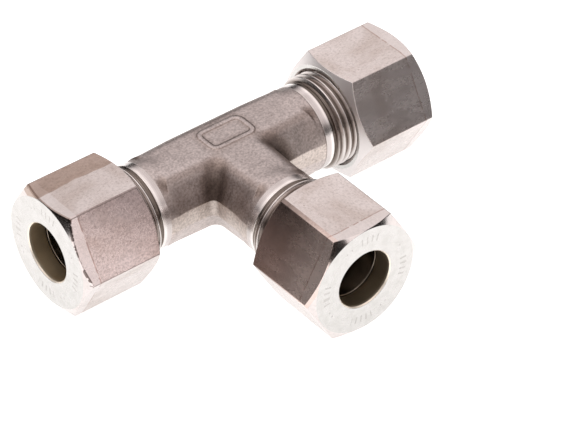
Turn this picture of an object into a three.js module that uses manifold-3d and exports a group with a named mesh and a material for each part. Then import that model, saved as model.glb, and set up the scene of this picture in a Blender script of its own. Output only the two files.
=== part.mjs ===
// Equal tee compression fitting for 12 mm tube, heavy series: a forged body with three
// threaded 24 degree cone stubs, three union nuts and three loose cutting rings.
// Millimetres, +Z up. The run lies along X, the branch points along -Y, and the three
// tube axes cross 12 mm above the plane that the nuts' lower flats rest on.
import * as THREE from "three";
import { mergeVertices } from "three/addons/utils/BufferGeometryUtils.js";
import Module from "manifold-3d";

// ---------- driving dimensions ----------
const SEG = 24; // facets round a full turn

// thread M20 x 1.5
const PITCH = 1.5;
const MALE_MAJOR_R = 9.93;
const MALE_MINOR_R = 9.05;
const CREST_HALF = 0.1; // half the width of a male crest
const FLANK = Math.tan(Math.PI / 6); // 60 degree thread form
const AXIAL_PLAY = 0.12; // axial running clearance per flank
const FEMALE_MAJOR_R = 10.07;
const FEMALE_MINOR_R = 9.27;

// body
const STUB_END = 29; // crossing to the end of a stub
const TUBE_STOP = 21.5; // crossing to the shoulder that a tube bottoms on
const BORE_R = 4; // flow bore, 8 mm
const SOCKET_R = 6.1; // counterbore that takes the 12 mm tube
const CONE_SMALL_AT = 24.5; // where the 24 degree cone meets the counterbore
const CONE_SLOPE = Math.tan((12 * Math.PI) / 180);
const ROUND_END_R = 9.5; // where the forging ends in a round shoulder
const COLLAR_R = 9.12; // plain turned length that the nut's thread clears
const COLLAR_FROM = 18.7;
const COLLAR_TO = 21.2;
const GROOVE_R = 8.85;
const GROOVE_TO = 22.1;
const FLAT_HALF = 8.5; // half the 17 mm across the forging's upper and lower flats
const PARTING_HALF = 8.45; // half width over the trimmed parting band
const ARM_END = 17.4;

// nut
const NUT_AF = 24;
const NUT_CORNER_R = NUT_AF / Math.sqrt(3);
const NUT_LENGTH = 18.2;
const NUT_FACE_R = 11.8; // circle of each end face inside its 30 degree chamfer
const NUT_HOLE_R = 6.17;
const NUT_HOLE_DEPTH = 4;
const NUT_CAVITY_R = 8.7;

// where each nut's outer end stands from the crossing, as assembled
const LEFT_AT = 42.5;
const RIGHT_AT = 44.0;
const BRANCH_AT = 44.0;

// cutting ring, by depth below the nut's outer end
const RING_BACK = 4.35;
const RING_NOSE = 13.6;
const RING_BORE_R = 6.06;
const RING_COLLAR_R = 8.15;
const RING_NOSE_R = 6.27;

const wasm = await Module();
wasm.setup();

// ---------- helpers ----------
function solid(geometry, matrix) {
  const g = geometry.index ? geometry.toNonIndexed() : geometry.clone();
  const bare = new THREE.BufferGeometry().setAttribute(
    "position",
    g.getAttribute("position"),
  );
  if (matrix) bare.applyMatrix4(matrix);
  const merged = mergeVertices(bare, 1e-4);
  return new wasm.Manifold(
    new wasm.Mesh({
      numProp: 3,
      vertProperties: new Float32Array(merged.attributes.position.array),
      triVerts: new Uint32Array(merged.index.array),
    }),
  );
}

function geometryOf(manifold) {
  const m = manifold.getMesh();
  const v = new Float32Array((m.vertProperties.length / m.numProp) * 3);
  for (let i = 0; i < v.length / 3; i++)
    v.set(m.vertProperties.subarray(i * m.numProp, i * m.numProp + 3), i * 3);
  const g = new THREE.BufferGeometry();
  g.setAttribute("position", new THREE.BufferAttribute(v, 3));
  g.setIndex(new THREE.BufferAttribute(new Uint32Array(m.triVerts), 1));
  g.computeVertexNormals();
  return g;
}

// Solid of revolution about +Y from a closed [radius, height] profile, in either order.
function revolve(profile, segments = SEG) {
  const pts = profile.map(([r, a]) => new THREE.Vector2(r, a));
  let area = 0;
  pts.forEach((p, i) => {
    const q = pts[(i + 1) % pts.length];
    area += p.x * q.y - q.x * p.y;
  });
  if (area < 0) pts.reverse();
  pts.push(pts[0].clone());
  return solid(new THREE.LatheGeometry(pts, segments));
}

// A right-handed threaded bar about +Y. Its crests lie where a = PITCH * angle / 2 pi + phase.
function threadedBar(majorR, minorR, crestHalf, from, to, phase) {
  const rootHalf = crestHalf + (majorR - minorR) * FLANK;
  const profile = [
    [-rootHalf, minorR],
    [-crestHalf, majorR],
    [crestHalf, majorR],
    [rootHalf, minorR],
  ];
  const turns = Math.ceil((to - from) / PITCH) + 2;
  const first = Math.floor((from - phase) / PITCH) - 1;
  const per = 4 * turns + 1;
  const pos = [];
  for (let i = 0; i < SEG; i++) {
    const angle = (2 * Math.PI * i) / SEG;
    for (let j = 0; j < per; j++) {
      const [da, r] = profile[j % 4];
      const a =
        phase + PITCH * (first + Math.floor(j / 4) + i / SEG) + da;
      pos.push(r * Math.sin(angle), a, r * Math.cos(angle));
    }
  }
  const low = pos.length / 3;
  pos.push(0, phase + PITCH * (first - 1), 0);
  const high = low + 1;
  pos.push(0, phase + PITCH * (first + turns + 2), 0);
  const at = (i, j) => i * per + j;
  const tri = [];
  const quad = (a, b, c, d) => tri.push(a, b, c, a, c, d);
  for (let i = 0; i < SEG - 1; i++) {
    for (let j = 0; j < per - 1; j++)
      quad(at(i, j), at(i + 1, j), at(i + 1, j + 1), at(i, j + 1));
    tri.push(low, at(i + 1, 0), at(i, 0));
    tri.push(high, at(i, per - 1), at(i + 1, per - 1));
  }
  // the seam steps on by one pitch
  const e = SEG - 1;
  for (let j = 0; j < per - 5; j++)
    quad(at(e, j), at(0, j + 4), at(0, j + 5), at(e, j + 1));
  for (let j = 0; j < 4; j++) tri.push(at(e, 0), at(0, j), at(0, j + 1));
  for (let j = per - 5; j < per - 1; j++)
    tri.push(at(0, per - 1), at(e, j + 1), at(e, j));
  tri.push(low, at(0, 0), at(e, 0));
  tri.push(high, at(e, per - 1), at(0, per - 1));
  return new wasm.Manifold(
    new wasm.Mesh({
      numProp: 3,
      vertProperties: new Float32Array(pos),
      triVerts: new Uint32Array(tri),
    }),
  );
}

// ---------- forged tee ----------
// One level of the forging: the tee's outline with half width w, wider by 0.3 at the crossing.
function teeOutline(w) {
  const e = w - 0.25,
    c = w + 0.3,
    f = 1.6,
    end = ARM_END + 0.6;
  const pts = [
    [end, e],
    [0, c],
    [-end, e],
    [-end, -e],
  ];
  for (let k = 0; k <= 3; k++) {
    const t = (Math.PI / 2) * (k / 3);
    pts.push([-c - f + f * Math.sin(t), -c - f + f * Math.cos(t)]);
  }
  pts.push([-e, -end], [e, -end]);
  for (let k = 3; k >= 0; k--) {
    const t = (Math.PI / 2) * (k / 3);
    pts.push([c + f - f * Math.sin(t), -c - f + f * Math.cos(t)]);
  }
  pts.push([end, -e]);
  return pts;
}

function forging() {
  const half = [
    [FLAT_HALF, 4.75],
    [FLAT_HALF - 0.22, 5.45],
    [FLAT_HALF - 0.85, 6.15],
    [1.75, 8.15],
    [1.6, PARTING_HALF],
  ];
  const levels = [...half, ...half.map(([z, w]) => [-z, w]).reverse()];
  const rings = levels.map(([z, w]) => teeOutline(w).map(([x, y]) => [x, y, z]));
  const n = rings[0].length;
  const pos = rings.flat(2);
  const tri = [];
  for (let l = 0; l < rings.length - 1; l++)
    for (let i = 0; i < n; i++) {
      const a = l * n + i,
        b = l * n + ((i + 1) % n);
      tri.push(a, a + n, b, b, a + n, b + n);
    }
  const cap = (l, up) => {
    const flat = rings[l].map(([x, y]) => new THREE.Vector2(x, y));
    for (const [a, b, c] of THREE.ShapeUtils.triangulateShape(flat, [])) {
      const o = l * n;
      if (up) tri.push(o + a, o + b, o + c);
      else tri.push(o + a, o + c, o + b);
    }
  };
  cap(0, true);
  cap(rings.length - 1, false);
  const made = new wasm.Manifold(
    new wasm.Mesh({
      numProp: 3,
      vertProperties: new Float32Array(pos),
      triVerts: new Uint32Array(tri),
    }),
  );
  return made;
}

// Each port is built about +Y and turned about Z to face outwards.
const PORTS = {
  left: Math.PI / 2,
  right: -Math.PI / 2,
  branch: Math.PI,
};
const turned = (m, angle) => m.rotate([0, 0, (angle * 180) / Math.PI]);
const PHASE = STUB_END; // a male crest passes the stub's end at angle 0

function stub() {
  const thread = threadedBar(
    MALE_MAJOR_R,
    MALE_MINOR_R,
    CREST_HALF,
    GROOVE_TO - 1,
    STUB_END + 1,
    PHASE,
  );
  const threadZone = revolve([
    [0, GROOVE_TO - 0.6],
    [GROOVE_R - 0.05, GROOVE_TO - 0.6],
    [10.4, GROOVE_TO + 0.95],
    [10.4, STUB_END - 1.4],
    [9.0, STUB_END],
    [0, STUB_END],
  ]);
  const core = revolve([
    [0, 6],
    [7.4, 6],
    [8.85, 13],
    [8.85, ARM_END - 1.5],
    [ROUND_END_R, ARM_END - 0.3],
    [ROUND_END_R, COLLAR_FROM - 0.4],
    [COLLAR_R, COLLAR_FROM],
    [COLLAR_R, COLLAR_TO],
    [GROOVE_R, COLLAR_TO + 0.2],
    [GROOVE_R, GROOVE_TO + 0.1],
    [0, GROOVE_TO + 0.1],
  ]);
  return threadZone.intersect(thread).add(core);
}

// Takes the forging's corners down to the neck behind each collar.
function shoulderCut() {
  return revolve([
    [10.3, 14.2],
    [14, 13],
    [14, 24],
    [8.8, 24],
    [8.8, ARM_END],
  ]);
}

function innerBore() {
  const mouthR = SOCKET_R + (STUB_END - CONE_SMALL_AT) * CONE_SLOPE;
  return revolve([
    [0, 0],
    [BORE_R, 0],
    [BORE_R, TUBE_STOP],
    [SOCKET_R, TUBE_STOP],
    [SOCKET_R, CONE_SMALL_AT],
    [mouthR, STUB_END],
    [mouthR + 0.2, STUB_END + 0.941],
    [0, STUB_END + 0.941],
  ]);
}

function teeBody() {
  let body = forging();
  for (const angle of Object.values(PORTS))
    body = body.subtract(turned(shoulderCut(), angle));
  for (const angle of Object.values(PORTS))
    body = body.add(turned(stub(), angle));
  for (const angle of Object.values(PORTS))
    body = body.subtract(turned(innerBore(), angle));
  // the run's bore is cut once right through, so that no skin is left at the crossing
  const through = revolve([
    [0, -10],
    [BORE_R, -10],
    [BORE_R, 10],
    [0, 10],
  ]);
  return body.subtract(turned(through, PORTS.left));
}

// ---------- union nut, outer end at height 0, body end at -NUT_LENGTH ----------
function nut(outerAt) {
  const hex = solid(
    new THREE.CylinderGeometry(
      NUT_CORNER_R,
      NUT_CORNER_R,
      NUT_LENGTH + 2,
      6,
      1,
      false,
      Math.PI / 6,
    ),
    new THREE.Matrix4().makeTranslation(0, -NUT_LENGTH / 2, 0),
  );
  const rise = (14.6 - NUT_FACE_R) * Math.tan(Math.PI / 6);
  const envelope = revolve(
    [
      [0, 0],
      [NUT_FACE_R, 0],
      [14.6, -rise],
      [14.6, -NUT_LENGTH + rise],
      [NUT_FACE_R, -NUT_LENGTH],
      [0, -NUT_LENGTH],
    ],
    48,
  );
  const shoulderEnd = NUT_HOLE_DEPTH + (NUT_CAVITY_R - NUT_HOLE_R);
  const hollow = revolve([
    [0, 0.5],
    [NUT_HOLE_R + 0.7, 0.5],
    [NUT_HOLE_R, -0.2],
    [NUT_HOLE_R, -NUT_HOLE_DEPTH],
    [NUT_CAVITY_R, -shoulderEnd],
    [NUT_CAVITY_R, -8.0],
    [10.2, -8.9],
    [10.2, -9.6],
    [FEMALE_MINOR_R, -10.3],
    [FEMALE_MINOR_R, -NUT_LENGTH + 1.3],
    [10.57, -NUT_LENGTH],
    [10.87, -NUT_LENGTH - 0.3],
    [0, -NUT_LENGTH - 0.3],
  ]);
  const cutter = threadedBar(
    FEMALE_MAJOR_R,
    MALE_MINOR_R - 0.1,
    CREST_HALF - (FEMALE_MAJOR_R - MALE_MAJOR_R) * FLANK + AXIAL_PLAY,
    -NUT_LENGTH - 1,
    -9,
    PHASE - outerAt,
  ).intersect(
    revolve([
      [0, -9.4],
      [11, -9.4],
      [11, -NUT_LENGTH - 1],
      [0, -NUT_LENGTH - 1],
    ]),
  );
  return hex.intersect(envelope).subtract(hollow).subtract(cutter);
}

// ---------- cutting ring, in the same frame as its nut ----------
function cuttingRing() {
  return revolve([
    [RING_BORE_R + 0.12, -RING_BACK],
    [6.32, -RING_BACK],
    [RING_COLLAR_R, -RING_BACK - (RING_COLLAR_R - 6.32)],
    [RING_COLLAR_R, -8.5],
    [7.75, -8.8],
    [7.2, -9.0],
    [RING_NOSE_R + 0.15, -RING_NOSE + 0.6],
    [RING_NOSE_R, -RING_NOSE],
    [RING_BORE_R, -RING_NOSE],
    [RING_BORE_R, -RING_NOSE + 0.5],
    [RING_BORE_R + 0.22, -RING_NOSE + 0.6],
    [RING_BORE_R + 0.22, -RING_NOSE + 2.2],
    [RING_BORE_R, -RING_NOSE + 2.9],
    [RING_BORE_R, -RING_BACK - 0.12],
  ]);
}

// ---------- scene ----------
const forgedSteel = new THREE.MeshStandardMaterial({
  name: "forged_steel",
  color: 0x9c8c88,
  metalness: 1,
  roughness: 0.55,
});
const turnedSteel = new THREE.MeshStandardMaterial({
  name: "turned_steel",
  color: 0xb9aaa6,
  metalness: 1,
  roughness: 0.3,
});
const ringSteel = new THREE.MeshStandardMaterial({
  name: "ring_steel",
  color: 0xa89a86,
  metalness: 1,
  roughness: 0.25,
});

function named(name, manifold, material) {
  const mesh = new THREE.Mesh(geometryOf(manifold), material);
  mesh.name = name;
  return mesh;
}

const fitting = new THREE.Group();
// the origin is the centre of the bounding box's base
fitting.position.set(
  -(RIGHT_AT - LEFT_AT) / 2,
  (BRANCH_AT - NUT_CORNER_R) / 2,
  NUT_AF / 2,
);
fitting.add(named("tee_body", teeBody(), forgedSteel));
for (const [side, at, nutName, ringName] of [
  ["left", LEFT_AT, "union_nut_left", "cutting_ring_left"],
  ["right", RIGHT_AT, "union_nut_right", "cutting_ring_right"],
  ["branch", BRANCH_AT, "union_nut_branch", "cutting_ring_branch"],
]) {
  const port = new THREE.Group();
  port.rotation.z = PORTS[side];
  const carrier = new THREE.Group();
  carrier.position.y = at;
  carrier.add(named(nutName, nut(at), turnedSteel));
  carrier.add(named(ringName, cuttingRing(), ringSteel));
  port.add(carrier);
  fitting.add(port);
}

export default fitting;
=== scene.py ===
import math

import bpy
import numpy as np
from mathutils import Matrix, Vector


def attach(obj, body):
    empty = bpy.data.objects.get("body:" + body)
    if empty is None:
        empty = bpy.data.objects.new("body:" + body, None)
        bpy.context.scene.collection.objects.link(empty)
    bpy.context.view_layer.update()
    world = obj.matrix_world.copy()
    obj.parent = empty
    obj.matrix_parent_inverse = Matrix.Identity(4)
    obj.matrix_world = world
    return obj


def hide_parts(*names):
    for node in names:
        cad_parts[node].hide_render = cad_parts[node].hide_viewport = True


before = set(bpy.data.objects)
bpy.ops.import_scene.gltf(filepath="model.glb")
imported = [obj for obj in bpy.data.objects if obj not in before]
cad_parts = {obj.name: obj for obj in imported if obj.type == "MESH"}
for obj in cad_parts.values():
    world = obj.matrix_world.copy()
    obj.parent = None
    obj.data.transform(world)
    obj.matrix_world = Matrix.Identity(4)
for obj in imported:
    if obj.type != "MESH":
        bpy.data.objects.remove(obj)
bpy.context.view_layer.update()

MM = 0.001
CROSS = np.array([-0.75, 15.072, 12.0])  # where the tube axes cross, mm in the row frame

# ------------------------------------------------------------------ dimensions, mm
PITCH = 1.5
MALE_MAJOR, MALE_MINOR, CREST = 9.93, 9.05, 0.1
FEMALE_MAJOR, FEMALE_MINOR = 10.07, 9.27
T30 = math.tan(math.radians(30))
STUB_END, TUBE_STOP, BORE_R, SOCKET_R, CONE_AT = 29.0, 21.5, 4.0, 6.1, 24.5
CONE_SLOPE = math.tan(math.radians(12))
NUT_L, NUT_FACE_R, NUT_BACK_R, HOLE_R = 18.2, 11.8, 11.3, 6.17
PORTS = {
    "left": ((-1, 0, 0), 42.5),
    "right": ((1, 0, 0), 44.0),
    "branch": ((0, -1, 0), 44.0),
}


# ------------------------------------------------------------------ mesh helpers
def make_object(name, verts_mm, quads, tris=(), at=None, smooth=True):
    mesh = bpy.data.meshes.new(name)
    v = np.asarray(verts_mm, np.float64) * MM
    faces = [tuple(int(i) for i in f) for f in quads] + [
        tuple(int(i) for i in f) for f in tris
    ]
    mesh.from_pydata(v.tolist(), [], faces)
    mesh.validate()
    mesh.update()
    mesh.polygons.foreach_set("use_smooth", [smooth] * len(mesh.polygons))
    ob = bpy.data.objects.new(name, mesh)
    bpy.context.scene.collection.objects.link(ob)
    if at is not None:
        ob.matrix_world = at
    return ob


def port_matrix(side, outer):
    """Local +Z is outward along the port, local +Y is up, and the origin is `outer` from the crossing."""
    out = Vector(PORTS[side][0])
    up = Vector((0, 0, 1))
    across = up.cross(out)
    m = Matrix((across, up, out)).transposed().to_4x4()
    m.translation = (Vector(CROSS) + out * outer) * MM
    return m


def torus_grid(rows, thetas):
    """A closed skin from rows of (r, z), each n by 2 over the same thetas. The rows close on themselves."""
    n, m = len(thetas), len(rows)
    c, s = np.cos(thetas), np.sin(thetas)
    v = np.empty((m, n, 3))
    for i, row in enumerate(rows):
        row = np.asarray(row, float)
        v[i, :, 0] = row[:, 0] * c
        v[i, :, 1] = row[:, 0] * s
        v[i, :, 2] = row[:, 1]
    ids = np.arange(m * n).reshape(m, n)
    a = ids
    b = np.roll(ids, -1, 1)
    c2 = np.roll(b, -1, 0)
    d = np.roll(a, -1, 0)
    quads = np.stack([a, b, c2, d], -1).reshape(-1, 4)
    return v.reshape(-1, 3), quads


def volume(v, quads):
    p = v[quads]
    a = np.einsum("ij,ij->i", p[:, 0], np.cross(p[:, 1], p[:, 2])).sum()
    b = np.einsum("ij,ij->i", p[:, 0], np.cross(p[:, 2], p[:, 3])).sum()
    return (a + b) / 6


def outward(v, quads):
    return quads if volume(v, quads) > 0 else quads[:, ::-1]


def rounded(points, radii, steps=3, hold=0.06, longest=1.2):
    """Polyline [(r, z)] with its inner corners rounded to radii, with a holding point either side."""
    pts = [np.array(p, float) for p in points]
    out = [pts[0]]
    for i in range(1, len(pts) - 1):
        a, p, b = pts[i - 1], pts[i], pts[i + 1]
        rad = radii[i]
        u, w = a - p, b - p
        lu, lw = np.linalg.norm(u), np.linalg.norm(w)
        u, w = u / lu, w / lw
        cosang = float(np.clip(u @ w, -1, 1))
        half = math.acos(cosang) / 2
        if rad <= 0 or half > math.radians(88):
            out.append(p)
            continue
        t = min(rad / math.tan(half), 0.45 * lu, 0.45 * lw)
        p0, p1 = p + u * t, p + w * t
        out.append(p0 + u * min(hold, 0.3 * lu))
        for k in range(steps + 1):
            f = k / steps
            out.append((1 - f) ** 2 * p0 + 2 * f * (1 - f) * p + f * f * p1)
        out.append(p1 + w * min(hold, 0.3 * lw))
    out.append(pts[-1])
    fine = [out[0]]
    for p in out[1:]:
        gap = np.linalg.norm(p - fine[-1])
        k = max(1, int(math.ceil(gap / longest)))
        q = fine[-1]
        for j in range(1, k + 1):
            fine.append(q + (p - q) * j / k)
    return fine


def flat_rows(points, n):
    return [np.tile(p, (n, 1)) for p in points]


# ------------------------------------------------------------------ threads
def thread_radius(theta, z, phase, major, minor, crest, root_round=0.12):
    """Right-hand thread about +Z. A crest passes z = phase at the upward angle, 90 degrees."""
    u = (z - phase) / PITCH - (theta - math.pi / 2) / (2 * math.pi)
    u = u - np.floor(u)
    s = np.minimum(u, 1 - u) * PITCH
    r = major - np.maximum(0, s - crest) / T30
    # soft crest and root
    r = np.where(s < crest * 1.6, np.minimum(r, major - 0.35 * (s / (crest * 1.6)) ** 3 * 0.2), r)
    k = root_round
    return np.where(
        r > minor + k, r, minor + k * np.exp(np.clip((r - minor - k) / k, -8, 0)) * 1.0
    )


# ------------------------------------------------------------------ union nut
def hex_radius(theta, apothem=12.0, rho=0.28):
    """Polar radius of a hexagon with vertices at 0, 60, ... degrees and rounded corners."""
    phi = (theta + math.pi / 6) % (math.pi / 3) - math.pi / 6
    c = (apothem - rho) / math.cos(math.pi / 6)
    tangent = math.atan2(rho * 0.5, c + rho * math.cos(math.pi / 6))
    flat = apothem / np.cos(math.pi / 6 - np.abs(phi))
    arc = c * np.cos(phi) + np.sqrt(np.maximum(rho**2 - (c * np.sin(phi)) ** 2, 0))
    return np.where(np.abs(phi) < tangent, arc, flat), tangent


def nut_thetas():
    _, tangent = hex_radius(np.zeros(1))
    offs = [0, tangent * 0.35, tangent * 0.7, tangent, tangent + math.radians(0.25)]
    offs += [tangent + math.radians(d) for d in (1.0, 2.2)]
    th = set()
    for k in range(6):
        base = k * math.pi / 3
        for o in offs:
            th.add(round((base + o) % (2 * math.pi), 9))
            th.add(round((base - o) % (2 * math.pi), 9))
        lo, hi = tangent + math.radians(2.2), math.pi / 3 - tangent - math.radians(2.2)
        n = 24
        for j in range(1, n):
            th.add(round(base + lo + (hi - lo) * j / n, 9))
    return np.array(sorted(th))


def nut_mesh(outer_at):
    th = nut_thetas()
    n = len(th)
    rh, _ = hex_radius(th)
    rows = []
    # outer end face, from the hole's mouth outwards
    face = rounded(
        [(HOLE_R, -1.2), (HOLE_R, -0.28), (HOLE_R + 0.28, 0), (NUT_FACE_R - 0.12, 0)],
        [0, 0.08, 0.1, 0],
        longest=0.9,
    )
    rows += flat_rows(face, n)

    def cone_rows(sign, base, order, face_r=NUT_FACE_R):
        """The 30 degree chamfer and the small radii either side of it, from the face outwards."""
        reach = rh - face_r
        out = []
        out.append(np.stack([np.full(n, face_r - 0.03), np.full(n, base - sign * 0.006)], 1))
        for f in (0.0, 0.03, 0.12, 0.35, 0.65, 0.88, 0.97):
            t = 0.05 + f * (reach - 0.09)
            out.append(np.stack([face_r + t, base - sign * (0.012 + t * T30)], 1))
        depth = reach * T30
        out.append(np.stack([rh - 0.012, base - sign * (depth + 0.015)], 1))
        out.append(np.stack([rh, base - sign * (depth + 0.06)], 1))
        out.append(np.stack([rh, base - sign * (depth + 0.2)], 1))
        return out if order > 0 else out[::-1]

    top = cone_rows(1, 0.0, 1)
    bottom = cone_rows(-1, -NUT_L, -1, NUT_BACK_R)
    rows += top
    z0, z1 = top[-1][:, 1], bottom[0][:, 1]
    for f in np.linspace(0, 1, 16)[1:-1]:
        rows.append(np.stack([rh, z0 + (z1 - z0) * f], 1))
    rows += bottom
    # back face and thread entry
    back = rounded(
        [(NUT_BACK_R - 0.12, -NUT_L), (10.57, -NUT_L), (10.2, -NUT_L + 0.37)],
        [0, 0.1, 0],
        longest=0.6,
    )
    rows += flat_rows(back, n)
    # internal thread, as one radius for each angle and depth
    zs = np.arange(-NUT_L + 0.42, -9.45, 0.1)
    phase = STUB_END - outer_at
    crest = CREST - (FEMALE_MAJOR - MALE_MAJOR) * T30 + 0.12
    for z in zs:
        r = thread_radius(th, z, phase, FEMALE_MAJOR, FEMALE_MINOR - 0.6, crest, 0.05)
        r = np.maximum(r, FEMALE_MINOR)
        r = np.maximum(r, 10.57 - (z + NUT_L))
        rows.append(np.stack([r, np.full(n, z)], 1))
    inner = rounded(
        [
            (10.2, -9.35),
            (10.2, -8.9),
            (8.7, -8.0),
            (8.7, -6.53),
            (HOLE_R, -4.0),
            (HOLE_R, -1.3),
        ],
        [0, 0.1, 0.1, 0.15, 0.08, 0],
        longest=1.0,
    )
    rows += flat_rows(inner, n)
    v, q = torus_grid(rows, th)
    return v, outward(v, q)


# ------------------------------------------------------------------ cutting ring
def ring_mesh():
    back, nose = -4.35, -13.6
    th = np.linspace(0, 2 * math.pi, 129)[:-1]
    profile = [
        (6.06, -9.0),
        (6.06, back),
        (6.32, back),
        (8.15, back - 1.83),
        (8.15, -8.5),
        (7.75, -8.8),
        (7.2, -9.0),
        (6.42, nose + 0.6),
        (6.27, nose),
        (6.06, nose),
        (6.06, nose + 0.5),
        (6.28, nose + 0.6),
        (6.28, nose + 2.2),
        (6.06, nose + 2.9),
        (6.06, -9.05),
    ]
    radii = [0, 0.1, 0.06, 0.15, 0.15, 0.1, 0.2, 0.1, 0.05, 0.04, 0.04, 0.05, 0.1, 0.1, 0]
    pts = rounded(profile, radii, hold=0.04)
    v, q = torus_grid(flat_rows(pts, len(th)), th)
    return v, outward(v, q)


# ------------------------------------------------------------------ stub, turned and threaded
def stub_mesh():
    """One port's turned end, along local +Z from the crossing."""
    n = 160
    th = np.linspace(0, 2 * math.pi, n + 1)[:-1]
    rows = []
    outer = rounded(
        [(8.0, 15.0), (8.0, 19.0), (9.12, 19.3), (9.12, 21.15), (8.85, 21.42), (8.85, 21.75)],
        [0, 0, 0.1, 0.12, 0.1, 0],
        longest=0.8,
    )
    rows += flat_rows(outer, n)
    for z in np.arange(21.8, STUB_END - 0.02, 0.05):
        r = thread_radius(th, z, STUB_END, MALE_MAJOR, MALE_MINOR, CREST)
        runout = 8.85 + np.clip((z - 21.85) / 0.55, 0, 1) * 1.3
        chamfer = 9.0 + max(0.0, STUB_END - z) / 1.4 * 1.4
        r = np.minimum(np.minimum(r, runout), chamfer)
        rows.append(np.stack([np.maximum(r, 8.85), np.full(n, z)], 1))
    mouth = SOCKET_R + (STUB_END - CONE_AT) * CONE_SLOPE
    inner = rounded(
        [
            (8.95, STUB_END),
            (mouth + 0.1, STUB_END),
            (mouth - 0.03, STUB_END - 0.2),
            (SOCKET_R, CONE_AT),
            (SOCKET_R, TUBE_STOP),
            (BORE_R, TUBE_STOP),
            (BORE_R, 15.0),
            (8.0, 15.0),
        ],
        [0, 0.06, 0.06, 0.2, 0.12, 0.12, 0, 0],
        longest=1.4,
    )
    rows += flat_rows(inner[:-1], n)
    v, q = torus_grid(rows, th)
    return v, outward(v, q)


# ------------------------------------------------------------------ forging, from a distance field
def smin(a, b, k):
    h = np.maximum(k - np.abs(a - b), 0) / k
    return np.minimum(a, b) - h * h * k * 0.25


def smax(a, b, k):
    return -smin(-a, -b, k)


def body_field(p):
    x, y, z = p[..., 0], p[..., 1], p[..., 2]
    ax, ay, az = np.abs(x), np.abs(y), np.abs(z)
    tilt = math.radians(27.0)
    ca, sa = math.cos(tilt), math.sin(tilt)
    band = 1.85

    def sides(across, along, wide):
        w = wide - 0.35 * np.clip((along - 9.0) / 8.0, 0, 1)
        slope = across * ca + az * sa - (w * ca + band * sa)
        edge = across - w
        return smax(slope, edge, 0.1)

    run = sides(ay, ax, 8.85)
    arm = sides(ax, -y, 8.75)
    arm = np.maximum(arm, y)
    fillet = 1.5 + 0.9 * np.clip((az - 1.0) / 7.5, 0, 1)
    tee = smin(run, arm, fillet)
    # arms end square under the round shoulders
    tee = np.maximum(tee, ax - 17.8)
    tee = np.maximum(tee, -y - 17.8)
    tee = smax(tee, az - 8.5, 2.1)

    def shoulder(a, b, along):
        # a round end that grows out of the arm towards its collar
        t = np.clip((along - 13.6) / 4.4, 0, 1)
        rise = t * t * (3 - 2 * t)
        d1 = (np.hypot(a, b) - (8.32 + 0.70 * rise)) * 0.96
        d2 = np.abs(along - 16.0) - 3.5
        return smax(d1, d2, 0.3)

    ends = np.minimum(shoulder(y, z, ax), shoulder(x, z, -y))
    solid = smin(tee, ends, 0.7)
    # plain raised pad on the upper flat
    qx, qy = np.abs(x - 0.6) - 3.6, np.abs(y + 0.5) - 1.5
    rect = (
        np.hypot(np.maximum(qx, 0), np.maximum(qy, 0))
        + np.minimum(np.maximum(qx, qy), 0)
        - 1.4
    )
    frame_line = np.abs(rect) - 0.42
    pad = np.maximum(smax(frame_line * 0.8, z - 8.72, 0.25), 7.5 - z)
    solid = smin(solid, pad, 0.4)
    # flow bores, opened wider where the turned stubs are let in
    run_bore = np.hypot(y, z) - np.where(ax > 15.0, 7.0, BORE_R)
    arm_bore = np.maximum(np.hypot(x, z) - np.where(-y > 15.0, 7.0, BORE_R), y)
    return np.maximum(solid, -np.minimum(run_bore, arm_bore))


def surface_nets(field, lo, hi, h, fixes=3):
    axes = [np.arange(lo[i], hi[i] + h, h) for i in range(3)]
    g = np.stack(np.meshgrid(*axes, indexing="ij"), -1)
    f = field(g)
    inside = f < 0
    nx, ny, nz = f.shape
    corner = [
        (i, j, k) for i in (0, 1) for j in (0, 1) for k in (0, 1)
    ]

    def cell(a, c):
        i, j, k = c
        return a[i : nx - 1 + i, j : ny - 1 + j, k : nz - 1 + k]

    count = sum(cell(inside, c).astype(np.int8) for c in corner)
    active = (count > 0) & (count < 8)
    ids = np.full(active.shape, -1, np.int64)
    where = np.argwhere(active)
    ids[active] = np.arange(len(where))
    total = np.zeros((len(where), 3))
    hits = np.zeros(len(where))
    w = tuple(where.T)
    vals = {c: cell(f, c)[w] for c in corner}
    for a in corner:
        for axis in range(3):
            if a[axis]:
                continue
            b = tuple(a[i] + (i == axis) for i in range(3))
            va, vb = vals[a], vals[b]
            cross = (va < 0) != (vb < 0)
            t = np.where(cross, va / np.where(cross, va - vb, 1), 0)
            pt = np.array(a, float)[None, :] + t[:, None] * (
                np.array(b) - np.array(a)
            )
            total += pt * cross[:, None]
            hits += cross
    v = (where + total / hits[:, None]) * h + np.array([a[0] for a in axes])
    quads = []
    for axis in range(3):
        u, t = (axis + 1) % 3, (axis + 2) % 3
        sl_a = [slice(1, -1)] * 3
        sl_a[axis] = slice(0, -1)
        sl_b = list(sl_a)
        sl_b[axis] = slice(1, None)
        A, B = inside[tuple(sl_a)], inside[tuple(sl_b)]
        flips = np.argwhere(A != B)
        if not len(flips):
            continue
        sign = A[tuple(flips.T)]
        base = flips.copy()
        base[:, u] += 1
        base[:, t] += 1

        def at(du, dt):
            q = base.copy()
            q[:, u] -= du
            q[:, t] -= dt
            return ids[tuple(q.T)]

        q = np.stack([at(1, 1), at(0, 1), at(0, 0), at(1, 0)], 1)
        q[~sign] = q[~sign][:, ::-1]
        quads.append(q)
    quads = np.concatenate(quads)
    # onto the surface itself
    e = 1e-3
    for _ in range(fixes):
        val = field(v)
        grad = np.stack(
            [
                (field(v + np.eye(3)[i] * e) - field(v - np.eye(3)[i] * e)) / (2 * e)
                for i in range(3)
            ],
            -1,
        )
        g2 = (grad**2).sum(-1)
        step = (val / np.maximum(g2, 0.05))[:, None] * grad
        length = np.linalg.norm(step, axis=1, keepdims=True)
        step *= np.minimum(1, 0.35 * h / np.maximum(length, 1e-9))
        v = v - step
    return v, quads


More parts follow.
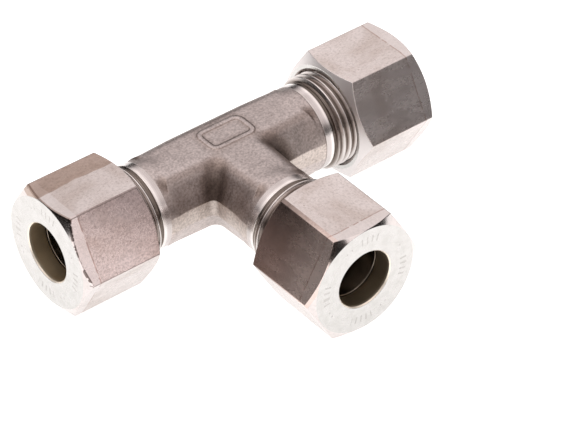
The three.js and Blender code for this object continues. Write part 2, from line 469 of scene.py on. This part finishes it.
def sheltered(field, v, e=1e-3):
    """How far each point sits in a hollow, 0 on open faces and up to 1 deep in a corner; it sets the painted shade
    on the forging.
    """
    grad = np.stack(
        [(field(v + np.eye(3)[i] * e) - field(v - np.eye(3)[i] * e)) / (2 * e) for i in range(3)], -1
    )
    normal = grad / np.maximum(np.linalg.norm(grad, axis=1, keepdims=True), 1e-9)
    total = np.zeros(len(v))
    for reach in (1.0, 2.0, 4.0, 6.0):
        total += np.clip(1 - field(v + normal * reach) / (0.97 * reach), 0, 1)
    # extra painted shade in the tee's two inner corners, fading out towards the top and bottom faces
    corner = np.hypot(np.abs(v[:, 0]) - 8.6, v[:, 1] + 8.6)
    deep = 0.45 * np.exp(-((corner / 2.3) ** 2)) * np.clip((9.2 - np.abs(v[:, 2])) / 3.0, 0, 1)
    return np.clip(np.maximum(total / 4, deep), 0, 1)


# ------------------------------------------------------------------ materials
class Nodes:
    def __init__(self, name):
        self.mat = bpy.data.materials.new(name)
        self.mat.use_nodes = True
        self.t = self.mat.node_tree
        self.t.nodes.clear()
        self.out = self.t.nodes.new("ShaderNodeOutputMaterial")
        self.bsdf = self.t.nodes.new("ShaderNodeBsdfPrincipled")
        self.t.links.new(self.bsdf.outputs[0], self.out.inputs[0])

    def new(self, kind, **props):
        n = self.t.nodes.new(kind)
        for k, val in props.items():
            setattr(n, k, val)
        return n

    def link(self, a, b):
        self.t.links.new(a, b)

    def math(self, op, a, b=None, c=None, clamp=False):
        n = self.new("ShaderNodeMath", operation=op, use_clamp=clamp)
        for i, x in enumerate((a, b, c)):
            if x is None:
                continue
            if isinstance(x, (int, float)):
                n.inputs[i].default_value = x
            else:
                self.link(x, n.inputs[i])
        return n.outputs[0]

    def coords(self):
        return self.new("ShaderNodeTexCoord").outputs["Object"]

    def noise(self, vec, scale, detail=3.0, rough=0.55, stretch=None, distortion=0.0):
        if stretch is not None:
            m = self.new("ShaderNodeMapping")
            m.inputs["Scale"].default_value = stretch
            self.link(vec, m.inputs[0])
            vec = m.outputs[0]
        n = self.new("ShaderNodeTexNoise")
        n.inputs["Scale"].default_value = scale
        n.inputs["Detail"].default_value = detail
        n.inputs["Roughness"].default_value = rough
        n.inputs["Distortion"].default_value = distortion
        self.link(vec, n.inputs["Vector"])
        return n.outputs["Fac"]

    def ramp(self, fac, stops, interpolation="LINEAR"):
        n = self.new("ShaderNodeValToRGB")
        n.color_ramp.interpolation = interpolation
        els = n.color_ramp.elements
        while len(els) > 1:
            els.remove(els[-1])
        for i, (pos, col) in enumerate(stops):
            el = els[0] if i == 0 else els.new(pos)
            el.position = pos
            el.color = (*col, 1) if len(col) == 3 else col
        self.link(fac, n.inputs[0])
        return n.outputs[0]

    def mix(self, fac, a, b, blend="MIX"):
        n = self.new("ShaderNodeMix", data_type="RGBA", blend_type=blend)
        for sock, x in ((n.inputs[0], fac), (n.inputs[6], a), (n.inputs[7], b)):
            if isinstance(x, (int, float)):
                sock.default_value = x
            elif isinstance(x, tuple):
                sock.default_value = (*x, 1)
            else:
                self.link(x, sock)
        return n.outputs[2]

    def bump(self, height, strength, distance_mm, before=None):
        n = self.new("ShaderNodeBump")
        n.inputs["Strength"].default_value = strength
        n.inputs["Distance"].default_value = distance_mm * MM
        self.link(height, n.inputs["Height"])
        if before is not None:
            self.link(before, n.inputs["Normal"])
        return n.outputs[0]


def polar(n, vec):
    sep = n.new("ShaderNodeSeparateXYZ")
    n.link(vec, sep.inputs[0])
    x, y, z = sep.outputs
    r = n.math("SQRT", n.math("ADD", n.math("MULTIPLY", x, x), n.math("MULTIPLY", y, y)))
    return x, y, z, r


def forged_material():
    n = Nodes("blasted_forging")
    co = n.coords()
    x, y, z, r = polar(n, co)
    fine = n.noise(co, 4200, 2.0, 0.6)
    grain = n.noise(co, 2200, 2.5, 0.6)
    cloud = n.noise(co, 130, 3.0, 0.5)
    pits = n.noise(co, 1300, 1.5, 0.5)
    base = n.ramp(cloud, [(0.3, (0.44, 0.385, 0.37)), (0.7, (0.50, 0.445, 0.43))])
    speck = n.ramp(grain, [(0.34, (0.76, 0.75, 0.74)), (0.5, (1, 1, 1)), (0.66, (1.22, 1.21, 1.20))])
    col = n.mix(1.0, base, speck, "MULTIPLY")
    dark = n.ramp(pits, [(0.24, (0.78, 0.76, 0.74)), (0.34, (1, 1, 1))])
    col = n.mix(1.0, col, dark, "MULTIPLY")
    # drafted upper sides keep more of the dull forged skin than the coined flats and the trimmed parting band, and
    # are darker partly as painted shade; the parting band is lighter, partly its own trimmed tone and partly painted
    # light
    height = n.math("ABSOLUTE", z)
    draft_tone_light_and_shade = n.ramp(
        n.math("MULTIPLY", height, 100.0),
        [(0.0, (1.14, 1.13, 1.08)), (0.170, (1.14, 1.13, 1.08)), (0.195, (0.66, 0.63, 0.61)),
         (0.76, (0.76, 0.73, 0.71)), (0.845, (1, 1, 1))],
    )
    # painted light: the whole lower half is lighter, standing in for the light it catches from below
    painted_lower_light = n.ramp(n.math("MULTIPLY", height, 100.0), [(0.170, (1.14, 1.13, 1.08)), (0.195, (1.12, 1.11, 1.10))])
    draft_tone_light_and_shade = n.mix(n.math("LESS_THAN", z, 0.0), draft_tone_light_and_shade, painted_lower_light)
    col = n.mix(1.0, col, draft_tone_light_and_shade, "MULTIPLY")
    # painted shade in the hollows, full strength above the parting line and a quarter as strong below
    attr = n.new("ShaderNodeAttribute", attribute_name="painted_hollow_shade", attribute_type="GEOMETRY")
    hollow = n.ramp(attr.outputs["Fac"], [(0.05, (1, 1, 1)), (0.16, (0.66, 0.62, 0.59)), (0.34, (0.30, 0.265, 0.24)), (0.5, (0.22, 0.19, 0.17))])
    above = n.math("GREATER_THAN", z, 1.8 * MM)
    col = n.mix(n.math("ADD", n.math("MULTIPLY", above, 0.75), 0.25), col, n.mix(1.0, col, hollow, "MULTIPLY"))
    n.link(col, n.bsdf.inputs["Base Color"])
    rough = n.new("ShaderNodeMapRange")
    rough.inputs["To Min"].default_value = 0.38
    rough.inputs["To Max"].default_value = 0.46
    n.link(cloud, rough.inputs["Value"])
    n.link(rough.outputs[0], n.bsdf.inputs["Roughness"])
    n.bsdf.inputs["Metallic"].default_value = 1.0
    b = n.bump(fine, 0.5, 0.025)
    b = n.bump(grain, 0.6, 0.04, b)
    b = n.bump(pits, 0.25, 0.04, b)
    n.link(b, n.bsdf.inputs["Normal"])
    return n.mat


def nut_material(name, scale_patch=False, painted_dark_flat=False):
    n = Nodes(name)
    co = n.coords()
    x, y, z, r = polar(n, co)
    on_end = n.math("MULTIPLY", n.math("GREATER_THAN", z, -0.05 * MM), n.math("GREATER_THAN", r, 6.3 * MM))
    on_back = n.math("LESS_THAN", z, (-NUT_L + 0.05) * MM)
    faces = n.math("MAXIMUM", on_end, on_back)
    # flats: fine grain drawn out along the bar, a soft cloud, a few pits
    grain = n.noise(co, 2000, 3.0, 0.65, stretch=(1.0, 1.0, 0.8))
    fine = n.noise(co, 4600, 2.0, 0.6, stretch=(1.0, 1.0, 0.8))
    cloud = n.noise(co, 260, 4.0, 0.6, stretch=(1.0, 1.0, 0.5))
    pits = n.noise(co, 1500, 1.0, 0.5)
    base = n.ramp(cloud, [(0.3, (0.585, 0.535, 0.515)), (0.5, (0.625, 0.575, 0.558)), (0.7, (0.66, 0.612, 0.598))])
    speck = n.ramp(grain, [(0.33, (0.82, 0.81, 0.81)), (0.5, (1, 1, 1)), (0.68, (1.08, 1.07, 1.07))])
    col = n.mix(1.0, base, speck, "MULTIPLY")
    # handling marks: broad soft patches of thin film
    patch = n.noise(co, 95, 3.0, 0.55, distortion=0.6)
    film_tone = n.ramp(patch, [(0.34, (0.84, 0.80, 0.77)), (0.5, (0.97, 0.955, 0.945)), (0.66, (1.05, 1.05, 1.05))])
    col = n.mix(1.0, col, film_tone, "MULTIPLY")
    dark = n.ramp(pits, [(0.22, (0.75, 0.72, 0.70)), (0.30, (1, 1, 1))])
    col = n.mix(1.0, col, dark, "MULTIPLY")
    # painted light: a lighter band next to the outer end, standing in for light on a rolled turn-in that the flats
    # do not have
    edge = n.math("ADD", z, n.math("MULTIPLY", cloud, 0.6 * MM))
    band = n.new("ShaderNodeMapRange")
    band.inputs["From Min"].default_value = -2.5 * MM
    band.inputs["From Max"].default_value = -2.3 * MM
    n.link(edge, band.inputs["Value"])
    col = n.mix(n.math("MULTIPLY", band.outputs[0], 0.5), col, (0.70, 0.66, 0.65))
    # turned chamfers between the end faces and the flats
    cone_out = n.math("ABSOLUTE", n.math("ADD", z, n.math("MULTIPLY", n.math("SUBTRACT", r, NUT_FACE_R * MM), T30)))
    cone_in = n.math("ABSOLUTE", n.math("ADD", n.math("SUBTRACT", z, n.math("MULTIPLY", n.math("SUBTRACT", r, NUT_BACK_R * MM), T30)), NUT_L * MM))
    cone = n.math("LESS_THAN", cone_out, 0.035 * MM)
    cone = n.math("MULTIPLY", cone, n.math("GREATER_THAN", r, (NUT_FACE_R + 0.03) * MM))
    inner_cone = n.math("LESS_THAN", cone_in, 0.035 * MM)
    inner_cone = n.math("MULTIPLY", inner_cone, n.math("GREATER_THAN", r, (NUT_BACK_R + 0.03) * MM))
    # thin darker brownish line along the inner edge of that band, broken here and there
    seam = n.math("LESS_THAN", n.math("ABSOLUTE", n.math("ADD", edge, 2.5 * MM)), 0.13 * MM)
    seam = n.math("MULTIPLY", seam, n.math("GREATER_THAN", n.noise(co, 420, 2.0, 0.6), 0.47))
    if scale_patch:
        seam = n.math("MULTIPLY", seam, n.math("LESS_THAN", y, 11.6 * MM))
    col = n.mix(n.math("MULTIPLY", seam, 0.75), col, n.mix(1.0, col, (0.66, 0.54, 0.50), "MULTIPLY"))
    if scale_patch:
        # the flat next to it is pitted and pinkish, darker towards its upper inner corner
        facing = n.math("ADD", n.math("MULTIPLY", x, math.cos(math.radians(30))), n.math("MULTIPLY", y, 0.5))
        on_flat = n.math("GREATER_THAN", facing, 11.6 * MM)
        rise = n.math("ADD", n.math("MULTIPLY", x, -0.5), n.math("MULTIPLY", y, math.cos(math.radians(30))))
        fade = n.new("ShaderNodeMapRange")
        fade.inputs["From Min"].default_value = 3.0 * MM
        fade.inputs["From Max"].default_value = 13.5 * MM
        reach = n.math("ADD", n.math("MULTIPLY", rise, 0.9), n.math("MULTIPLY", z, -0.55))
        n.link(n.math("ADD", reach, n.math("MULTIPLY", cloud, 1.5 * MM)), fade.inputs["Value"])
        front_flat_tone = n.mix(fade.outputs[0], (1.06, 0.985, 0.98), (0.56, 0.50, 0.50))
        etched = n.ramp(n.noise(co, 2900, 2.5, 0.65), [(0.36, (0.80, 0.78, 0.78)), (0.5, (1, 1, 1)), (0.64, (1.13, 1.12, 1.12))])
        front_flat_tone = n.mix(1.0, front_flat_tone, etched, "MULTIPLY")
        # the painted-light band next to the outer end stays lighter on this flat too
        outer_band = n.math("GREATER_THAN", edge, -2.45 * MM)
        front_flat_tone = n.mix(outer_band, front_flat_tone, (1.10, 1.05, 1.05))
        # thin broken dark line where the chamfer meets the flat
        near_cone = n.math("LESS_THAN", cone_out, 0.22 * MM)
        broken = n.math("GREATER_THAN", n.noise(co, 700, 2.0, 0.6), 0.50)
        front_flat_tone = n.mix(n.math("MULTIPLY", near_cone, broken), front_flat_tone, (0.30, 0.26, 0.25))
        col = n.mix(on_flat, col, n.mix(1.0, col, front_flat_tone, "MULTIPLY"))
        # brown line where the upper flat meets the chamfer
        rim = n.math("MULTIPLY", n.math("LESS_THAN", cone_out, 0.30 * MM), n.math("GREATER_THAN", y, 11.6 * MM))
        rim = n.math("MULTIPLY", rim, n.math("LESS_THAN", z, -0.1 * MM))
        col = n.mix(n.math("MULTIPLY", rim, 0.75), col, n.mix(1.0, col, (0.48, 0.39, 0.34), "MULTIPLY"))
        # darker line along the hex corners
        turn = n.math("MULTIPLY", n.math("ARCTAN2", y, x), 3 / math.pi)
        turn = n.math("ABSOLUTE", n.math("SUBTRACT", n.math("FRACT", n.math("ADD", turn, 0.5)), 0.5))
        crease = n.math("LESS_THAN", n.math("ADD", turn, n.math("MULTIPLY", grain, 0.008)), 0.0125)
        crease = n.math("MULTIPLY", crease, n.math("GREATER_THAN", r, 13.0 * MM))
        col = n.mix(n.math("MULTIPLY", crease, 0.7), col, (0.16, 0.13, 0.12))
        # a strip of thin brown mill scale left along the back of the top flat
        wob = n.math("MULTIPLY", n.math("SUBTRACT", cloud, 0.5), 1.6 * MM)
        strip = n.new("ShaderNodeMapRange")
        strip.inputs["From Min"].default_value = -2.05 * MM
        strip.inputs["From Max"].default_value = -2.3 * MM
        n.link(n.math("ADD", x, wob), strip.inputs["Value"])
        top = n.math("GREATER_THAN", y, 10.5 * MM)
        m = n.math("MULTIPLY", strip.outputs[0], top)
        col = n.mix(n.math("MULTIPLY", m, 0.9), col, n.mix(1.0, col, n.mix(cloud, (0.52, 0.43, 0.37), (0.74, 0.63, 0.56)), "MULTIPLY"))
    if painted_dark_flat:
        # painted dark reflection: one flat darker towards the inner end
        facing = n.math("ADD", n.math("MULTIPLY", x, -math.cos(math.radians(30))), n.math("MULTIPLY", y, 0.5))
        on_flat = n.math("GREATER_THAN", facing, 11.2 * MM)
        fade = n.new("ShaderNodeMapRange")
        fade.inputs["From Min"].default_value = -3.0 * MM
        fade.inputs["From Max"].default_value = -14.0 * MM
        n.link(n.math("ADD", z, n.math("MULTIPLY", cloud, 2.0 * MM)), fade.inputs["Value"])
        dark_reflection = n.mix(fade.outputs[0], (1.04, 0.93, 0.88), (0.40, 0.345, 0.32))
        col = n.mix(on_flat, col, n.mix(1.0, col, dark_reflection, "MULTIPLY"))
    # turned end faces: fine rings
    ring_vec = n.new("ShaderNodeCombineXYZ")
    n.link(r, ring_vec.inputs[0])
    rings = n.noise(ring_vec.outputs[0], 7000, 2.0, 0.7)
    broad = n.noise(co, 500, 3.0, 0.6)
    ringcol = n.ramp(rings, [(0.3, (0.56, 0.55, 0.535)), (0.7, (0.645, 0.63, 0.615))])
    ringcol = n.mix(1.0, ringcol, n.ramp(broad, [(0.35, (0.93, 0.93, 0.92)), (0.6, (1.02, 1.02, 1.02))]), "MULTIPLY")
    col = n.mix(faces, col, ringcol)
    # stamped marks: plain ticks and dots in four groups round the end face
    angle = n.math("ARCTAN2", y, x)
    arc = n.math("MULTIPLY", angle, 9.4)
    cell = n.math("ABSOLUTE", n.math("SUBTRACT", n.math("FRACT", n.math("MULTIPLY", arc, 1 / 1.25)), 0.5))
    tick = n.math("LESS_THAN", cell, 0.13)
    rad = n.math("ABSOLUTE", n.math("SUBTRACT", r, 9.4 * MM))
    tall = n.math("LESS_THAN", rad, 0.75 * MM)
    short = n.math("LESS_THAN", rad, 0.18 * MM)
    sector = n.math("FRACT", n.math("MULTIPLY", n.math("ADD", angle, 0.35), 4 / (2 * math.pi)))
    in_ticks = n.math("LESS_THAN", sector, 0.34)
    in_dots = n.math("MULTIPLY", n.math("GREATER_THAN", sector, 0.44), n.math("LESS_THAN", sector, 0.60))
    marks = n.math("ADD", n.math("MULTIPLY", tall, in_ticks), n.math("MULTIPLY", short, in_dots))
    marks = n.math("MULTIPLY", n.math("MULTIPLY", marks, tick), on_end, clamp=True)
    col = n.mix(n.math("MULTIPLY", marks, 0.5), col, (0.40, 0.38, 0.36))
    # bore and hollow: turned, brown with oil
    hollow = n.math("LESS_THAN", r, 6.4 * MM)
    deep = n.new("ShaderNodeMapRange")
    deep.inputs["From Min"].default_value = -0.9 * MM
    deep.inputs["From Max"].default_value = -0.35 * MM
    n.link(z, deep.inputs["Value"])
    wall = (0.48, 0.40, 0.29) if painted_dark_flat else (0.70, 0.58, 0.41)
    film = n.mix(deep.outputs[0], wall, (0.92, 0.84, 0.72))
    col = n.mix(hollow, col, film)
    col = n.mix(inner_cone, col, (0.70, 0.66, 0.65))
    n.link(col, n.bsdf.inputs["Base Color"])
    n.bsdf.inputs["Metallic"].default_value = 1.0
    rr = n.new("ShaderNodeMapRange")
    rr.inputs["To Min"].default_value = 0.22
    rr.inputs["To Max"].default_value = 0.32
    n.link(cloud, rr.inputs["Value"])
    hollow_rough = n.math("MULTIPLY", hollow, 0.42)
    sheen = n.math("MAXIMUM", rr.outputs[0], hollow_rough)
    sheen = n.math("SUBTRACT", sheen, n.math("MULTIPLY", n.math("SUBTRACT", sheen, 0.13), cone))
    sheen = n.math("ADD", sheen, n.math("MULTIPLY", inner_cone, 0.14))
    n.link(sheen, n.bsdf.inputs["Roughness"])
    flats = n.math("GREATER_THAN", n.math("SUBTRACT", n.math("SUBTRACT", n.math("SUBTRACT", 1.0, faces), hollow), n.math("MAXIMUM", cone, inner_cone)), 0.5)
    relief = 0.8 if scale_patch else 0.35
    b = n.bump(n.math("MULTIPLY", fine, flats), 0.30 * relief, 0.010)
    b = n.bump(n.math("MULTIPLY", grain, flats), 0.40 * relief, 0.016, b)
    b = n.bump(n.math("MULTIPLY", rings, faces), 0.3, 0.008, b)
    b = n.bump(n.math("SUBTRACT", 1.0, marks), 0.8, 0.06, b)
    n.link(b, n.bsdf.inputs["Normal"])
    return n.mat


def turned_material(name, light, dark, rough_lo, rough_hi):
    n = Nodes(name)
    co = n.coords()
    x, y, z, r = polar(n, co)
    vec = n.new("ShaderNodeCombineXYZ")
    n.link(z, vec.inputs[0])
    n.link(n.math("MULTIPLY", r, 0.6), vec.inputs[1])
    lines = n.noise(vec.outputs[0], 6500, 2.5, 0.65)
    cloud = n.noise(co, 220, 3.0, 0.5)
    col = n.ramp(lines, [(0.3, dark), (0.7, light)])
    tint = n.ramp(cloud, [(0.3, (0.92, 0.91, 0.90)), (0.7, (1.05, 1.05, 1.05))])
    col = n.mix(1.0, col, tint, "MULTIPLY")
    # painted shade: the thread roots and grooves are darker
    root_shade = n.ramp(n.math("MULTIPLY", r, 100.0), [(0.888, (0.24, 0.21, 0.185)), (0.915, (0.30, 0.26, 0.235)), (0.945, (0.62, 0.58, 0.555)), (0.975, (0.98, 0.96, 0.95))])
    # painted light on the collar: a painted highlight lighter towards the thread end, and painted shade darker at
    # the forging end
    collar = n.math("MULTIPLY", n.math("LESS_THAN", z, 21.2 * MM), n.math("GREATER_THAN", r, 9.0 * MM))
    across = n.ramp(n.math("MULTIPLY", n.math("SUBTRACT", z, 19.2 * MM), 400.0), [(0.0, (0.62, 0.59, 0.58)), (0.07, (0.84, 0.81, 0.80)), (0.45, (0.90, 0.87, 0.87)), (0.62, (1.2, 1.19, 1.18))])
    col = n.mix(collar, col, n.mix(1.0, col, across, "MULTIPLY"))
    outside = n.math("GREATER_THAN", r, 8.7 * MM)
    past_collar = n.math("GREATER_THAN", z, 21.2 * MM)
    col = n.mix(n.math("MULTIPLY", outside, past_collar), col, n.mix(1.0, col, root_shade, "MULTIPLY"))
    # bores hold a thin brown film
    inner = n.new("ShaderNodeMapRange")
    inner.inputs["From Min"].default_value = 6.6 * MM
    inner.inputs["From Max"].default_value = 6.2 * MM
    n.link(r, inner.inputs["Value"])
    col = n.mix(n.math("MULTIPLY", inner.outputs[0], 0.7), col, (0.30, 0.25, 0.20))
    n.link(col, n.bsdf.inputs["Base Color"])
    n.bsdf.inputs["Metallic"].default_value = 1.0
    rr = n.new("ShaderNodeMapRange")
    rr.inputs["To Min"].default_value = rough_lo
    rr.inputs["To Max"].default_value = rough_hi
    n.link(lines, rr.inputs["Value"])
    n.link(rr.outputs[0], n.bsdf.inputs["Roughness"])
    b = n.bump(lines, 0.3, 0.01)
    n.link(b, n.bsdf.inputs["Normal"])
    return n.mat


# ------------------------------------------------------------------ build the pieces
forged = forged_material()
nut_steel = nut_material("drawn_and_turned_nut")
nut_scaled = nut_material("drawn_nut_with_scale", scale_patch=True)
nut_painted_reflection = nut_material("drawn_nut_with_painted_reflection", painted_dark_flat=True)
turned = turned_material("turned_steel", (0.76, 0.735, 0.725), (0.60, 0.565, 0.55), 0.17, 0.30)
ring_steel = turned_material("cutting_ring_steel", (0.78, 0.74, 0.68), (0.62, 0.57, 0.50), 0.14, 0.24)

cell = 0.2
fv, fq = surface_nets(body_field, (-19.93, -19.93, -10.13), (19.93, 10.13, 10.13), cell)
body = make_object("forged_body", fv, fq, at=Matrix.Translation(Vector(CROSS) * MM))
# painted shade for the forging's hollows, kept as a point attribute
painted_hollow_shade = body.data.attributes.new("painted_hollow_shade", "FLOAT", "POINT")
painted_hollow_shade.data.foreach_set("value", sheltered(body_field, fv).astype(np.float32))
body.data.materials.append(forged)
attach(body, "body")
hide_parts("tee_body")

sv, sq = stub_mesh()
rv, rq = ring_mesh()
for side, (out, outer_at) in PORTS.items():
    stub = make_object("threaded_stub_" + side, sv, sq, at=port_matrix(side, 0))
    stub.data.materials.append(turned)
    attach(stub, "body")
    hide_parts("tee_body")

    nv, nq = nut_mesh(outer_at)
    nut = make_object("hex_nut_" + side, nv, nq, at=port_matrix(side, outer_at))
    nut.data.materials.append({"left": nut_scaled, "branch": nut_painted_reflection}.get(side, nut_steel))
    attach(nut, "nut_" + side)
    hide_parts("union_nut_" + side)

    ring = make_object("bite_ring_" + side, rv, rq, at=port_matrix(side, outer_at))
    ring.data.materials.append(ring_steel)
    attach(ring, "ring_" + side)
    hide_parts("cutting_ring_" + side)

# ------------------------------------------------------------------ floor, light, camera
floor_mesh = bpy.data.meshes.new("studio_floor")
S = 1.6
floor_mesh.from_pydata([(-S, -S, 0), (S, -S, 0), (S, S, 0), (-S, S, 0)], [], [(0, 1, 2, 3)])
floor = bpy.data.objects.new("studio_floor", floor_mesh)
bpy.context.scene.collection.objects.link(floor)
floor.location.z = -0.00002
fm = Nodes("pale_floor")
fm.bsdf.inputs["Base Color"].default_value = (0.50, 0.50, 0.50, 1)
fm.bsdf.inputs["Roughness"].default_value = 0.8
fm.bsdf.inputs["Specular IOR Level"].default_value = 0.1
fm.bsdf.inputs["Emission Color"].default_value = (1.0, 1.0, 0.995, 1)
fm.bsdf.inputs["Emission Strength"].default_value = 1.0
floor.data.materials.append(fm.mat)

world = bpy.data.worlds.new("studio")
bpy.context.scene.world = world
world.use_nodes = True
wt = world.node_tree
bg = wt.nodes["Background"]
direction = wt.nodes.new("ShaderNodeTexCoord")
split = wt.nodes.new("ShaderNodeSeparateXYZ")
wt.links.new(direction.outputs["Generated"], split.inputs[0])
sky = wt.nodes.new("ShaderNodeValToRGB")
sky.color_ramp.interpolation = "EASE"
for i, (pos, col) in enumerate(
    [
        (0.15, (0.012, 0.010, 0.009)),
        (0.27, (0.10, 0.085, 0.085)),
        (0.46, (0.86, 0.80, 0.79)),
        (0.64, (1.10, 1.02, 1.01)),
    ]
):
    els = sky.color_ramp.elements
    el = els[i] if i < 2 else els.new(pos)
    el.position = pos
    el.color = (*col, 1)
wt.links.new(split.outputs[2], sky.inputs[0])
wt.links.new(sky.outputs[0], bg.inputs[0])
bg.inputs[1].default_value = 1.0

centre = Vector(CROSS) * MM


def card(name, place_mm, aim_mm, size_mm, radiance, colour=(1, 1, 1)):
    """A soft box: a lit rectangle of that even brightness."""
    light = bpy.data.lights.new(name, "AREA")
    light.shape = "RECTANGLE"
    light.size, light.size_y = size_mm[0] * MM, size_mm[1] * MM
    light.energy = radiance * math.pi * light.size * light.size_y
    light.color = colour
    ob = bpy.data.objects.new(name, light)
    bpy.context.scene.collection.objects.link(ob)
    ob.location = Vector(place_mm) * MM
    d = (Vector(aim_mm) - Vector(place_mm)).normalized()
    ob.rotation_euler = d.to_track_quat("-Z", "Y").to_euler()
    return ob


card("top_box", (-150, 60, 520), (0, 0, 12), (400, 400), 1.05, (1.0, 0.985, 0.98))
card("back_card", (190, 215, 225), (34, 15, 24), (90, 90), 0.28, (1.0, 0.97, 0.96))
card("front_card", (92, -290, 95), (-20, 0, 12), (105, 95), 1.32, (1.0, 0.935, 0.925))

scene = bpy.context.scene
scene.view_settings.view_transform = "Standard"
scene.view_settings.look = "None"

cam_data = bpy.data.cameras.new("camera")
cam_data.sensor_width = 36.0
cam_data.sensor_fit = "HORIZONTAL"
cam_data.lens = 3209.745 / 561 * 36.0
cam_data.clip_start = 0.01
cam_data.clip_end = 20
cam = bpy.data.objects.new("camera", cam_data)
scene.collection.objects.link(cam)
eye = (Vector((-301.377, -395.299, 393.001)) + Vector(CROSS)) * MM
look = Vector((0.48357, 0.60480, -0.63275))
cam.location = eye
cam.rotation_euler = look.to_track_quat("-Z", "Y").to_euler()
scene.camera = cam
